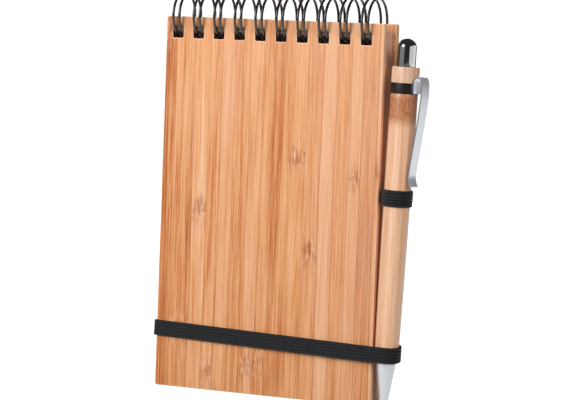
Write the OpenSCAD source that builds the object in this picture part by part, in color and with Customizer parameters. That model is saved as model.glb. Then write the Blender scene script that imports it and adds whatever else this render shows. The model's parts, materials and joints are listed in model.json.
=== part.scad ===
// Top-bound pocket notebook with bamboo covers, a twin-loop wire binding, an elastic
// closure band and a bamboo click pen held in an elastic loop at its right side.
// +Z is up, the front cover faces -Y, and the origin is the middle of the back
// cover's bottom edge, on its centre plane.

/* [Covers] */
// Width of both covers
cover_w = 88; // [80:1:100]
// Height of both covers
cover_h = 138.5; // [130:0.5:145]
// Thickness of each bamboo board
cover_t = 2.4; // [1.8:0.1:2.6]
// Radius of the boards' corners
corner_r = 0.8; // [0.2:0.1:2]

/* [Pages] */
// Thickness of all the leaves together
pages_t = 7.6; // [6:0.1:7.6]
// Thickness of the leaves that turn over with the front cover
turned_t = 0.8; // [0.3:0.1:1.5]
// How far the leaves stay inside the covers' side edges
page_inset = 1; // [0.5:0.1:2]
// How far the leaves stay below the covers' top edge
page_drop = 3; // [2.5:0.1:3.2]
// How far the leaves stay above the covers' bottom edge
page_lift = 2; // [1:0.1:4]

/* [Binding] */
// Number of twin loops
loop_count = 10; // [6:1:10]
// Distance from one twin loop to the next
loop_pitch = 8.4667; // [8:0.01:8.6]
// Distance between the two wires of a twin loop
twin_gap = 2.5; // [2.2:0.1:2.8]
// Radius of the wire
wire_r = 0.5; // [0.4:0.05:0.5]
// Radius of a loop, to the middle of the wire
ring_r = 8.8; // [8.7:0.05:8.9]
// Height of the loops' centre above the covers' top edge
ring_lift = 0.4; // [0.3:0.05:0.5]
// Width of a punched hole
hole_w = 4.3; // [4.2:0.1:4.6]
// Height of a punched hole
hole_h = 4.4; // [4.2:0.1:4.6]
// Sideways shift of the row of holes
row_shift = -1.1; // [-1.5:0.1:0]

/* [Elastics] */
// Width of the closure band
band_w = 5.9; // [5:0.1:7]
// Thickness of the closure band
band_t = 0.8; // [0.6:0.1:1]
// Height of the band's middle above the covers' bottom edge
band_z = 20.6; // [20:0.1:21]
// Slant of the band, right end down
band_slant = 1.5; // [0:0.1:2]
// Width of the pen loop
pen_loop_w = 6; // [5:0.1:7]
// Thickness of the pen loop's elastic
pen_loop_t = 0.6; // [0.5:0.1:0.6]

/* [Pen] */
// Length of the pen with its button up
pen_len = 132.6; // [132:0.1:134]
// Radius of the barrel at its top
barrel_top_r = 4.95; // [4.85:0.05:5]
// Radius of the barrel at its lower end
barrel_end_r = 4.38; // [4.2:0.02:4.4]
// Lean of the pen, top away from the covers
pen_lean = 1.65; // [1.6:0.05:1.8]
// Travel of the push button and the refill
click_travel = 4.5; // [3:0.1:4.5]
// Width of the pocket clip's strip
clip_w = 4.3; // [3.5:0.1:5]
// Thickness of the pocket clip's strip
clip_t = 0.7; // [0.5:0.1:0.8]

/* [Hidden] */
$fn = 64;
eps = 0.01;

// Depths, from the back cover's rear face at +Y to the front cover's face at -Y
seam_gap = 1.3;
front_gap = 0.1;
back_in_y = -cover_t / 2;
pages_back_y = back_in_y - seam_gap;
pages_front_y = pages_back_y - pages_t;
front_in_y = pages_front_y - front_gap;
front_out_y = front_in_y - cover_t;
turned_back_y = pages_front_y + turned_t;
leaf_gap = 0.05;

// Binding
ring_y = (front_out_y + cover_t / 2) / 2;
ring_z = cover_h + ring_lift;
cover_mid_dy = ring_y - (front_in_y - cover_t / 2);
hole_lift = 0.5;
page_hole_lift = 1.15;
cover_hole_z = ring_z - sqrt(pow(ring_r, 2) - pow(cover_mid_dy, 2)) + hole_lift;
page_hole_z = ring_z - ring_r + page_hole_lift;
spine_dy = back_in_y - seam_gap / 2 - ring_y;
spine_dz = sqrt(pow(ring_r, 2) - pow(spine_dy, 2));
spine_r = wire_r - 0.05;

// Page sizes
page_w = cover_w - 2 * page_inset;
page_top_z = cover_h - page_drop;

// Pen, measured from the mouth of its nose cone along its own axis
pen_out = 4.06;
pen_behind = 0.8;
pen_x = cover_w / 2 + pen_out;
pen_y = front_in_y + pen_behind;
pen_z = 1.2;
nose_len = 20.2;
button_h = 10.3;
collar_h = 5.8;
clip_ring_h = 3.9;
collar_z = pen_len - button_h - collar_h;
clip_ring_z = collar_z - clip_ring_h;
barrel_len = clip_ring_z - nose_len;
bore_r = 3.2;
mouth_r = 1.5;
collar_r = 5.05;
clip_ring_r = 4.9;
button_r = 3.55;
dome_h = 3.4;
grip = 0.15;

// Clip, in a plane through the pen's axis: [distance out from the axis, height]
clip_turn = -15;
clip_base = [5.45, clip_ring_z + 0.3];
clip_top = [7.2, collar_z + 2.4];
clip_shoulder = [9.2, clip_ring_z - 0.1];
clip_touch = [6, pen_len - 48];
clip_tip = [7.2, pen_len - 53];
clip_slit = 0.18;

// Mechanism
tube_bottom_z = 85;
tube_bore_r = 2.5;
plunger_r = 2.2;
plunger_end_z = 100;
cam_z = 95;
cam_r = 1.9;
bush_h = 7.8;
bush_t = 0.35;
refill_top_z = cam_z - 0.1;
refill_tube_z = 16;
refill_r = 1.6;
refill_bore_r = 1.15;
ball_r = 0.35;
ball_z = 1.95;
spring_seat_z = 11;
crimp_z = 32;
crimp_r = 2.15;
crimp_h = 0.8;
ink_z = 18.2;
ink_h = 52;

function barrel_r(z) =
    barrel_top_r - (barrel_top_r - barrel_end_r) * pow((clip_ring_z - z) / barrel_len, 2.2);

// A quarter circle's points round a corner of a rounded rectangle
function corner(cx, cy, r, from) =
    [for (i = [0:4]) [cx + r * cos(from + i * 22.5), cy + r * sin(from + i * 22.5)]];

function rounded_rectangle(w, h, r) = concat(
    corner(w / 2 - r, h - r, r, 0),
    corner(-w / 2 + r, h - r, r, 90),
    corner(-w / 2 + r, r, r, 180),
    corner(w / 2 - r, r, r, 270)
);

// Points along a smooth curve through three control points
function bend(a, b, c, steps) =
    [for (i = [0:steps]) let (t = i / steps)
        a * pow(1 - t, 2) + b * 2 * t * (1 - t) + c * pow(t, 2)];

// Normal of a path at its point i, to its left
function path_normal(path, i) =
    let (a = path[max(i - 1, 0)], b = path[min(i + 1, len(path) - 1)], d = b - a)
    [-d[1], d[0]] / norm(d);

// Outline of a strip of thickness t laid along a path
function strip_outline(path, t) = concat(
    [for (i = [0:len(path) - 1]) path[i] + path_normal(path, i) * t / 2],
    [for (i = [len(path) - 1:-1:0]) path[i] - path_normal(path, i) * t / 2]
);

// Stands a drawing in the XZ plane up, with its depth from y_front back to y_back
module stand_up(y_front, y_back) {
    translate([0, y_back, 0])
        rotate([90, 0, 0])
            linear_extrude(y_back - y_front)
                children();
}

// Row of punched holes, as seen from the front
module hole_row(z) {
    for (i = [0:loop_count - 1])
        translate([loop_x(i), z])
            square([hole_w, hole_h], center = true);
}

function loop_x(i) = (i - (loop_count - 1) / 2) * loop_pitch + row_shift;

module board(y_front) {
    stand_up(y_front, y_front + cover_t)
        difference() {
            polygon(rounded_rectangle(cover_w, cover_h, corner_r));
            hole_row(cover_hole_z);
        }
}

module leaves(y_front, y_back) {
    stand_up(y_front, y_back)
        difference() {
            translate([-page_w / 2, page_lift])
                square([page_w, page_top_z - page_lift]);
            hole_row(page_hole_z);
        }
}

module back_cover() {
    color("burlywood") board(back_in_y);
}

module front_cover() {
    color("sandybrown") board(front_out_y);
}

module page_block() {
    color("antiquewhite") leaves(turned_back_y + leaf_gap, pages_back_y);
}

module turned_leaves() {
    color("oldlace") leaves(pages_front_y, turned_back_y);
}

// Ten double loops closed onto one spine, which hides between the last leaf and
// the back cover
module wire_binding() {
    color("black") {
        for (i = [0:loop_count - 1], side = [-1, 1])
            translate([loop_x(i) + side * twin_gap / 2, ring_y, ring_z])
                rotate([0, 90, 0])
                    rotate_extrude()
                        translate([ring_r, 0])
                            circle(r = wire_r, $fn = 24);
        translate([loop_x(0) - twin_gap / 2, ring_y + spine_dy, ring_z - spine_dz])
            rotate([0, 90, 0])
                cylinder(r = spine_r, h = loop_pitch * (loop_count - 1) + twin_gap, $fn = 24);
    }
}

// Where the pen's axis crosses the middle of the band
band_pen_h = band_z - pen_x * sin(band_slant) - pen_z;
band_pen_x = pen_x + band_pen_h * tan(pen_lean);
band_pen_r = barrel_r(band_pen_h + band_w / 2) + grip;
band_gap = 0.15;
// Round what the band is stretched over: three corners and the pen, as [x, y, radius]
band_posts = [
    [-cover_w / 2, front_out_y, band_gap],
    [band_pen_x, pen_y, band_pen_r],
    [cover_w / 2, cover_t / 2, band_gap],
    [-cover_w / 2, cover_t / 2, band_gap]
];

// A belt stretched round posts
module belt(posts, t) {
    difference() {
        hull()
            for (p = posts)
                translate([p[0], p[1]])
                    circle(r = p[2] + t, $fn = 32);
        hull()
            for (p = posts)
                translate([p[0], p[1]])
                    circle(r = p[2], $fn = 32);
    }
}

// The part of the band that crosses the front, from the left corner to the pen
module front_run_zone(spare) {
    depth = 6;
    translate([-cover_w / 2 + spare, front_out_y - depth + band_gap + 0.05])
        square([cover_w / 2 + band_pen_x - 2 * spare, depth]);
}

module on_band() {
    translate([0, 0, band_z])
        rotate([0, band_slant, 0])
            linear_extrude(band_w, center = true)
                children();
}

module closure_band() {
    color("dimgray")
        on_band()
            difference() {
                belt(band_posts, band_t);
                front_run_zone(0);
            }
}

module closure_band_front() {
    color("gray")
        on_band()
            intersection() {
                belt(band_posts, band_t);
                front_run_zone(0.02);
            }
}

staple_r = 0.25;
band_staple_x = 12;
pen_loop_staple_x = 37;

// A wire staple driven forward through a board, its crown on the rear
module staple(x, z, crown_y) {
    crown_w = 7;
    clinch = 0.9;
    leg_end_y = back_in_y - clinch;
    translate([x, crown_y, z]) {
        translate([-crown_w / 2, 0, 0])
            rotate([0, 90, 0])
                cylinder(r = staple_r, h = crown_w, $fn = 16);
        for (side = [-1, 1])
            translate([side * (crown_w / 2 - staple_r), 0, 0])
                rotate([90, 0, 0])
                    cylinder(r = staple_r - 0.02, h = crown_y - leg_end_y, $fn = 16);
    }
}

module band_staples() {
    color("silver")
        for (x = [-band_staple_x, band_staple_x])
            staple(x, band_z - x * tan(band_slant), cover_t / 2 + band_gap + band_t + staple_r);
}

module pen_loop_staple() {
    color("silver") staple(pen_loop_staple_x, pen_z + pen_loop_z, cover_t / 2 + staple_r);
}

module on_pen() {
    translate([pen_x, pen_y, pen_z])
        rotate([0, pen_lean, 0])
            children();
}

pen_loop_z = 75;
pen_loop_r = barrel_r(pen_loop_z + pen_loop_w / 2) + grip;
// Where the loop's two tails meet, beside the back cover's inner face
tail_x = cover_w / 2 + 0.2 - pen_x - pen_loop_z * sin(pen_lean);
tail_y = back_in_y - seam_gap / 2 - pen_y;
tail_len = 14;

module pen_loop() {
    slit = 0.05;
    color("dimgray")
        on_pen()
            translate([0, 0, pen_loop_z])
                linear_extrude(pen_loop_w, center = true) {
                    belt([[0, 0, pen_loop_r], [tail_x, tail_y, slit]], pen_loop_t);
                    translate([tail_x - tail_len, tail_y - slit / 2 - pen_loop_t])
                        square([tail_len, 2 * pen_loop_t + slit]);
                }
}

module pen_barrel() {
    steps = 14;
    profile = [for (i = [0:steps]) let (z = nose_len + barrel_len * i / steps) [barrel_r(z), z]];
    spare = 0.05;
    color("wheat")
        on_pen()
            difference() {
                rotate_extrude()
                    polygon(concat([[0, nose_len]], profile, [[0, clip_ring_z]]));
                translate([0, 0, nose_len - 1])
                    cylinder(r = bore_r, h = barrel_len + 2);
                translate([0, 0, nose_len - 1])
                    cylinder(r = bore_r + bush_t + spare, h = 1 + bush_h + 4 * spare);
            }
}

module pen_collar() {
    color("wheat")
        on_pen()
            translate([0, 0, collar_z])
                difference() {
                    cylinder(r = collar_r, h = collar_h);
                    translate([0, 0, -1])
                        cylinder(r = button_r + grip, h = collar_h + 2);
                }
}

// Black ring between collar and barrel, with a flat lug that the clip's foot sits on
module clip_ring() {
    lug_out = clip_base[0] - clip_t / 2;
    color("black")
        on_pen()
            difference() {
                union() {
                    translate([0, 0, clip_ring_z])
                        cylinder(r = clip_ring_r, h = clip_ring_h);
                    rotate([0, 0, clip_turn])
                        translate([bore_r + 0.5, -clip_w / 2, clip_ring_z])
                            cube([lug_out - bore_r - 0.5, clip_w, clip_ring_h]);
                }
                translate([0, 0, clip_ring_z - 1])
                    cylinder(r = bore_r, h = clip_ring_h + 2);
            }
}

// The clip's foot: up the ring's lug and the collar's side, and over to the top
foot_path = concat(
    [clip_base],
    bend([clip_base[0], collar_z + 0.4], [clip_base[0], clip_top[1]], clip_top, 6)
);
// The clip's leg: over its shoulder, down to the barrel and away again at the tip
leg_path = concat(
    bend(clip_top + [clip_slit, 0], [clip_shoulder[0], clip_top[1]],
         clip_shoulder + [0, 2.5], 6),
    bend(clip_shoulder, clip_shoulder + [-0.2, -6], clip_touch + [0.3, 3], 6),
    bend(clip_touch, clip_touch - [0.5, 3], clip_tip, 5)
);

module clip_strip(path) {
    on_pen()
        rotate([0, 0, clip_turn])
            translate([0, clip_w / 2, 0])
                rotate([90, 0, 0])
                    linear_extrude(clip_w)
                        polygon(strip_outline(path, clip_t));
}

module clip_foot() {
    color("silver") clip_strip(foot_path);
}

module pocket_clip() {
    color("silver") clip_strip(leg_path);
}

// Dome-ended button with the plunger that it pushes down the mechanism tube
module push_button() {
    skirt_z = collar_z + click_travel + 0.2;
    dome_z = pen_len - dome_h;
    waist_r = button_r - 0.1;
    color("black")
        on_pen() {
            rotate_extrude()
                polygon(concat(
                    [[0, skirt_z], [button_r, skirt_z], [waist_r, dome_z]],
                    [for (a = [15:15:90]) [waist_r * cos(a), dome_z + dome_h * sin(a)]]
                ));
            translate([0, 0, plunger_end_z])
                cylinder(r = plunger_r, h = skirt_z - plunger_end_z + eps);
        }
}

module mechanism_tube() {
    color("gainsboro")
        on_pen()
            translate([0, 0, tube_bottom_z])
                difference() {
                    cylinder(r = bore_r - 0.05, h = collar_z - tube_bottom_z);
                    translate([0, 0, -1])
                        cylinder(r = tube_bore_r, h = collar_z - tube_bottom_z + 2);
                }
}

// Pusher cam between the plunger and the refill, with three guide ribs
module cam_rotor() {
    rib_count = 3;
    rib_w = 0.8;
    rib_h = 3;
    rib_out = 0.4;
    color("white")
        on_pen()
            translate([0, 0, cam_z]) {
                cylinder(r = cam_r, h = plunger_end_z - cam_z - 0.1);
                for (i = [0:rib_count - 1])
                    rotate([0, 0, i * 360 / rib_count])
                        translate([cam_r - 0.5, -rib_w / 2, 0])
                            cube([rib_out + 0.5, rib_w, rib_h]);
            }
}

module thread_bush() {
    color("goldenrod")
        on_pen()
            translate([0, 0, nose_len + 0.1])
                difference() {
                    cylinder(r = bore_r + bush_t, h = bush_h);
                    translate([0, 0, -1])
                        cylinder(r = bore_r, h = bush_h + 2);
                }
}

// Cone with a stepped bore, and a threaded spigot that goes up into the barrel
module nose_cone() {
    spigot_h = 7;
    tip_room = [1, 1.35];
    tip_step_z = 4.5;
    spring_room = 2.3;
    color("lightgray")
        on_pen()
            difference() {
                union() {
                    cylinder(r1 = mouth_r, r2 = barrel_end_r - 0.05, h = nose_len);
                    translate([0, 0, nose_len - eps])
                        cylinder(r = bore_r - 0.05, h = spigot_h);
                }
                translate([0, 0, -1])
                    cylinder(r = tip_room[0], h = nose_len);
                translate([0, 0, tip_step_z])
                    cylinder(r = tip_room[1], h = nose_len);
                translate([0, 0, spring_seat_z])
                    cylinder(r = spring_room, h = nose_len);
            }
}

// Compression spring between the nose cone's seat and the refill's crimp
spring_turns = 11;
spring_r = 1.95;
spring_wire_r = 0.17;
spring_sides = 6;
spring_steps = 16;

function spring_centre(i) =
    let (a = i * 360 / spring_steps,
         low = spring_seat_z + spring_wire_r + 0.02,
         high = crimp_z - spring_wire_r - 0.02)
    [spring_r * cos(a), spring_r * sin(a), low + (high - low) * i / (spring_turns * spring_steps)];

function spring_point(i, k) =
    let (a = i * 360 / spring_steps, b = k * 360 / spring_sides, c = spring_centre(i))
    c + spring_wire_r * [cos(b) * cos(a), cos(b) * sin(a), sin(b)];

module return_spring() {
    rings = spring_turns * spring_steps;
    points = [for (i = [0:rings], k = [0:spring_sides - 1]) spring_point(i, k)];
    sides = [for (i = [0:rings - 1], k = [0:spring_sides - 1])
        let (n = (k + 1) % spring_sides, a = i * spring_sides, b = a + spring_sides)
        [a + k, a + n, b + n, b + k]];
    first_end = [for (k = [spring_sides - 1:-1:0]) k];
    last_end = [for (k = [0:spring_sides - 1]) rings * spring_sides + k];
    color("silver")
        on_pen()
            polyhedron(points, concat(sides, [first_end], [last_end]), convexity = 10);
}

module refill_tube() {
    color("whitesmoke")
        on_pen()
            difference() {
                union() {
                    translate([0, 0, refill_tube_z])
                        cylinder(r = refill_r, h = refill_top_z - refill_tube_z);
                    translate([0, 0, crimp_z])
                        cylinder(r = crimp_r, h = crimp_h);
                }
                translate([0, 0, refill_tube_z - 1])
                    cylinder(r = refill_bore_r, h = refill_top_z);
            }
}

module refill_tip() {
    color("gold")
        on_pen()
            difference() {
                rotate_extrude()
                    polygon([
                        [0, 2.05], [0.4, 2.05], [0.9, 4], [0.9, 9], [1.15, 9.5],
                        [1.15, 15.95], [1.1, 15.95], [1.1, 18], [0, 18]
                    ]);
                translate([0, 0, ball_z])
                    sphere(r = ball_r + 0.01, $fn = 32);
            }
}

module writing_ball() {
    color("silver")
        on_pen()
            translate([0, 0, ball_z])
                sphere(r = ball_r, $fn = 32);
}

module ink_column() {
    color("navy")
        on_pen()
            translate([0, 0, ink_z])
                cylinder(r = refill_bore_r - 0.03, h = ink_h);
}

back_cover();
front_cover();
page_block();
turned_leaves();
wire_binding();
closure_band();
closure_band_front();
band_staples();
pen_loop();
pen_loop_staple();
pen_barrel();
pen_collar();
clip_ring();
clip_foot();
pocket_clip();
push_button();
mechanism_tube();
cam_rotor();
thread_bush();
nose_cone();
return_spring();
refill_tube();
refill_tip();
writing_ball();
ink_column();
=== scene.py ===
"""Looks of a top-bound pocket notebook: bamboo boards, paper leaves, a twin-loop wire
binding, an elastic closure band, and a bamboo click pen in an elastic loop.
Lengths are in metres, and a number times MM is a length in millimetres. Only the rates
and places inside materials are in millimetres."""
import json
import math
import random

import bmesh
import bpy
from mathutils import Matrix, Vector


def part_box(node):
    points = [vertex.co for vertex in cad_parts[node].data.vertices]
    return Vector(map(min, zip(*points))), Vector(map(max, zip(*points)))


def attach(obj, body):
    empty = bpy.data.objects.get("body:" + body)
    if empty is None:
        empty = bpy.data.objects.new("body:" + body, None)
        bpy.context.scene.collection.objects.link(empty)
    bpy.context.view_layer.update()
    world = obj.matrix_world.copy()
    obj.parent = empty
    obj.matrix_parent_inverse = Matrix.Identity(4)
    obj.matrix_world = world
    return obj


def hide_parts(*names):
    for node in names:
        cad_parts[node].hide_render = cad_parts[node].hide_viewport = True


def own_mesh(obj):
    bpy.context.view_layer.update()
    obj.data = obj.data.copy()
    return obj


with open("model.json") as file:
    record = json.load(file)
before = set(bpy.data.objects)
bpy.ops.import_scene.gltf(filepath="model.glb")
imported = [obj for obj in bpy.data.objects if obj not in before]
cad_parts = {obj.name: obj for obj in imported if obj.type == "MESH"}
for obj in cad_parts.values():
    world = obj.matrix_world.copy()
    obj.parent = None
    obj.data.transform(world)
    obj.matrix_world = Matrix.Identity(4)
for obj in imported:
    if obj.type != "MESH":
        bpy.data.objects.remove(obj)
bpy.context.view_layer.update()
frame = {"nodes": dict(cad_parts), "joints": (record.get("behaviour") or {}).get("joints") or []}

MM = 0.001
SAME = 1e-7   # two points this close are one
SLACK = 1e-6  # play when a point is matched to an edge
Y, Z = Vector((0, 1, 0)), Vector((0, 0, 1))


# ---------------------------------------------------------------- camera

def set_camera():
    """Camera at the photograph's place, as solved from the covers' corners, holes and pen."""
    yaw, pitch, roll = (math.radians(a) for a in (24.934, -3.952, 2.197))
    aim = Vector((6.022, -5.7, 72.458)) * MM
    distance = 938.89 * MM
    flat = math.cos(pitch)
    look = Vector((-math.sin(yaw) * flat, math.cos(yaw) * flat, math.sin(pitch)))
    level = Vector((math.cos(yaw), math.sin(yaw), 0))
    above = level.cross(look)
    right = level * math.cos(roll) + above * math.sin(roll)
    up = above * math.cos(roll) - level * math.sin(roll)
    data = bpy.data.cameras.new("camera")
    data.lens = 158.12
    data.sensor_width = 36
    data.clip_start = 0.01
    camera = bpy.data.objects.new("camera", data)
    bpy.context.scene.collection.objects.link(camera)
    turn = Matrix((right, up, -look)).transposed().to_4x4()
    camera.matrix_world = Matrix.Translation(aim - look * distance) @ turn
    bpy.context.scene.camera = camera


# ---------------------------------------------------------------- measures from the frame

def joint(name):
    """The frame's entry for a joint."""
    return next(j for j in frame["joints"] if j["name"] == name)


def pen_matrix():
    """The pen's own frame: its foot is the nose cone's mouth, and its Z runs up the pen."""
    up = Vector(joint("pen_pull")["axis"]).normalized()
    ball_low, ball_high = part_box("writing_ball")
    ball_height = 1.95 * MM
    foot = (ball_low + ball_high) / 2 - up * ball_height
    sideways = Y.cross(up)
    return Matrix.Translation(foot) @ Matrix((sideways, Y, up)).transposed().to_4x4()


PEN = pen_matrix()
UNPEN = PEN.inverted()


def pen_span(node):
    """Lowest height, highest height and largest radius of a node in the pen's frame."""
    points = [UNPEN @ v.co for v in frame["nodes"][node].data.vertices]
    heights = [p.z for p in points]
    return min(heights), max(heights), max(math.hypot(p.x, p.y) for p in points)


FRONT_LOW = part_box("front_cover")[0]
BACK_LOW, BACK_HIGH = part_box("back_cover")
BLOCK_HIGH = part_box("page_block")[1]
RING_CENTRE = Vector(joint("cover_flip")["pos_m"])

# The binding's ten twin loops, the square holes for them, and the seam behind the leaves
LOOPS = 10
LOOP_PITCH = 25.4 / 3 * MM
ROW_SHIFT = -1.1 * MM
LOOP_X = [(i - (LOOPS - 1) / 2) * LOOP_PITCH + ROW_SHIFT for i in range(LOOPS)]
TWIN_GAP = 2.5 * MM
WIRE_R = 0.5 * MM
RING_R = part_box("wire_binding")[1].z - RING_CENTRE.z - WIRE_R
HOLE_W, HOLE_H = 4.3 * MM, 4.4 * MM
COVER_HOLE_Z = 132.7 * MM
PAGE_HOLE_Z = 131.25 * MM
SEAM_Y = (BLOCK_HIGH.y + BACK_LOW.y) / 2

# The two elastics, and the room between them and the pen and round the button
RIBS = 5
BAND_W, BAND_T, BAND_GAP = 5.9 * MM, 0.8 * MM, 0.15 * MM
BAND_SLANT = math.radians(1.5)
BAND_Z = 20.6 * MM
PEN_LOOP_W, PEN_LOOP_T, PEN_LOOP_Z = 6 * MM, 0.6 * MM, 75 * MM
ROOM = 0.15 * MM

# The pen's pieces, as heights above its foot and radii
BARREL_FOOT, BARREL_TOP, BARREL_TOP_R = pen_span("pen_barrel")
RING_FOOT, RING_TOP, _ = pen_span("clip_ring")
COLLAR_FOOT, COLLAR_TOP, COLLAR_R = pen_span("pen_collar")
BUTTON_FOOT, PEN_TOP, BUTTON_R = pen_span("push_button")
BARREL_END_R = 4.38 * MM
BORE_R = 3.2 * MM
CLIP = PEN @ Matrix.Rotation(math.radians(-15), 4, "Z")
CLIP_W, CLIP_T = 4.3 * MM, 0.7 * MM


# ---------------------------------------------------------------- mesh helpers

def add_object(name, data, matrix=None):
    """Puts new data into the scene as an object."""
    obj = bpy.data.objects.new(name, data)
    bpy.context.scene.collection.objects.link(obj)
    if matrix is not None:
        obj.matrix_world = matrix
    return obj


def object_from(bm, name, matrix=None, sharp=35):
    """Turns a bmesh into a tidy object: outward normals, smooth faces, sharp edges kept."""
    bmesh.ops.remove_doubles(bm, verts=bm.verts, dist=SAME)
    bmesh.ops.recalc_face_normals(bm, faces=bm.faces)
    for face in bm.faces:
        face.smooth = True
    for edge in bm.edges:
        edge.smooth = edge.calc_face_angle(0) < math.radians(sharp)
    mesh = bpy.data.meshes.new(name)
    bm.to_mesh(mesh)
    bm.free()
    return add_object(name, mesh, matrix)


def curve(a, b, c, steps):
    """A curve from a to c that is pulled toward b."""
    return [a * (1 - t) ** 2 + b * 2 * t * (1 - t) + c * t ** 2
            for t in (k / steps for k in range(steps + 1))]


def rounded(points, steps, closed=True):
    """A line through 2-D points (x, y, radius), each corner rounded by its radius."""
    line = []
    count = len(points)
    for i, (x, y, radius) in enumerate(points):
        here = Vector((x, y))
        if radius <= 0 or (not closed and i in (0, count - 1)):
            line.append(here)
            continue
        before = Vector(points[i - 1][:2]) - here
        after = Vector(points[(i + 1) % count][:2]) - here
        reach = min(radius, before.length * 0.49, after.length * 0.49)
        start = here + before.normalized() * reach
        end = here + after.normalized() * reach
        line += curve(start, here, end, steps)
    return line


def lathe(name, profile):
    """Turns a closed outline of (radius, height) about the pen's axis. A point on it closes it."""
    steps = 96
    bm = bmesh.new()
    rings = []
    for radius, height in profile:
        if radius < SAME:
            rings.append([bm.verts.new((0, 0, height))])
        else:
            rings.append([
                bm.verts.new((radius * math.cos(a), radius * math.sin(a), height))
                for a in (2 * math.pi * k / steps for k in range(steps))
            ])
    for a, b in zip(rings, rings[1:] + rings[:1]):
        if len(a) == 1 and len(b) == 1:
            continue
        for k in range(steps):
            n = (k + 1) % steps
            corners = [a[k % len(a)], a[n % len(a)], b[n % len(b)], b[k % len(b)]]
            bm.faces.new(list(dict.fromkeys(corners)))
    return object_from(bm, name, PEN)


def skin(bm, rings):
    """Closes rows of vertices into a solid: a wall between each two, and a face at each end."""
    for a, b in zip(rings, rings[1:]):
        for k in range(len(a)):
            n = (k + 1) % len(a)
            bm.faces.new((a[k], a[n], b[n], b[k]))
    bm.faces.new(rings[0][::-1])
    bm.faces.new(rings[-1])


def sweep(name, stations, section, across, matrix):
    """Carries a closed section of (out, side) points along stations of (point, outward)."""
    bm = bmesh.new()
    skin(bm, [[bm.verts.new(point + outward * o + across * s) for o, s in section]
              for point, outward in stations])
    return object_from(bm, name, matrix, sharp=50)


def directions(line):
    """Each point of a line with the way ahead there."""
    last = len(line) - 1
    return [(point, (line[min(i + 1, last)] - line[max(i - 1, 0)]).normalized())
            for i, point in enumerate(line)]


def tube(name, points, radius, sides=3, matrix=None):
    """A round wire with flat ends along 3-D points."""
    curve = bpy.data.curves.new(name, "CURVE")
    curve.dimensions = "3D"
    curve.bevel_depth = radius
    curve.bevel_resolution = sides
    curve.use_fill_caps = True
    spline = curve.splines.new("POLY")
    spline.points.add(len(points) - 1)
    for target, point in zip(spline.points, points):
        target.co = (*point, 1)
    source = add_object(name + "_line", curve)
    bpy.context.view_layer.update()
    graph = bpy.context.evaluated_depsgraph_get()
    mesh = bpy.data.meshes.new_from_object(source.evaluated_get(graph))
    bpy.data.objects.remove(source)
    bm = bmesh.new()
    bm.from_mesh(mesh)
    bpy.data.meshes.remove(mesh)
    return object_from(bm, name, matrix)


def punched_slab(bm, low, high, hole_z, shift=(0, 0)):
    """A closed slab with the row of square holes through it, as a grid of cells."""
    edges_x = [low.x + shift[0]]
    for x in LOOP_X:
        edges_x += [x - HOLE_W / 2 + shift[0], x + HOLE_W / 2 + shift[0]]
    edges_x.append(high.x + shift[0])
    edges_z = [z + shift[1] for z in (low.z, hole_z - HOLE_H / 2, hole_z + HOLE_H / 2, high.z)]

    def is_solid(i, k):
        inside = 0 <= i < len(edges_x) - 1 and 0 <= k < len(edges_z) - 1
        return inside and not (k == 1 and i % 2 == 1)

    verts = {}

    def corner(i, k, y):
        key = (i, k, y)
        if key not in verts:
            verts[key] = bm.verts.new((edges_x[i], y, edges_z[k]))
        return verts[key]

    front, back = low.y, high.y
    for i in range(len(edges_x) - 1):
        for k in range(len(edges_z) - 1):
            if not is_solid(i, k):
                continue
            ring = [(i, k), (i + 1, k), (i + 1, k + 1), (i, k + 1)]
            bm.faces.new([corner(*p, front) for p in ring])
            bm.faces.new([corner(*p, back) for p in ring[::-1]])
            beyond = [(i, k - 1), (i + 1, k), (i, k + 1), (i - 1, k)]
            for side, cell in enumerate(beyond):
                if not is_solid(*cell):
                    a, b = ring[side], ring[(side + 1) % 4]
                    wall = [(b, front), (a, front), (a, back), (b, back)]
                    bm.faces.new([corner(*p, y) for p, y in wall])


def depth_edges(bm, chosen):
    """Edges along Y at real corners, for which chosen(x, z) is true."""
    found = []
    for edge in bm.edges:
        a, b = edge.verts
        along_y = abs(a.co.x - b.co.x) < SAME and abs(a.co.z - b.co.z) < SAME
        if along_y and edge.calc_face_angle(0) > 1 and chosen(a.co.x, a.co.z):
            found.append(edge)
    return found


# ---------------------------------------------------------------- materials

def srgb(r, g, b):
    """Linear colour of an 8-bit display colour."""
    linear = [((c / 255 + 0.055) / 1.055) ** 2.4 if c > 10 else c / 255 / 12.92 for c in (r, g, b)]
    return (*linear, 1)


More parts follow.
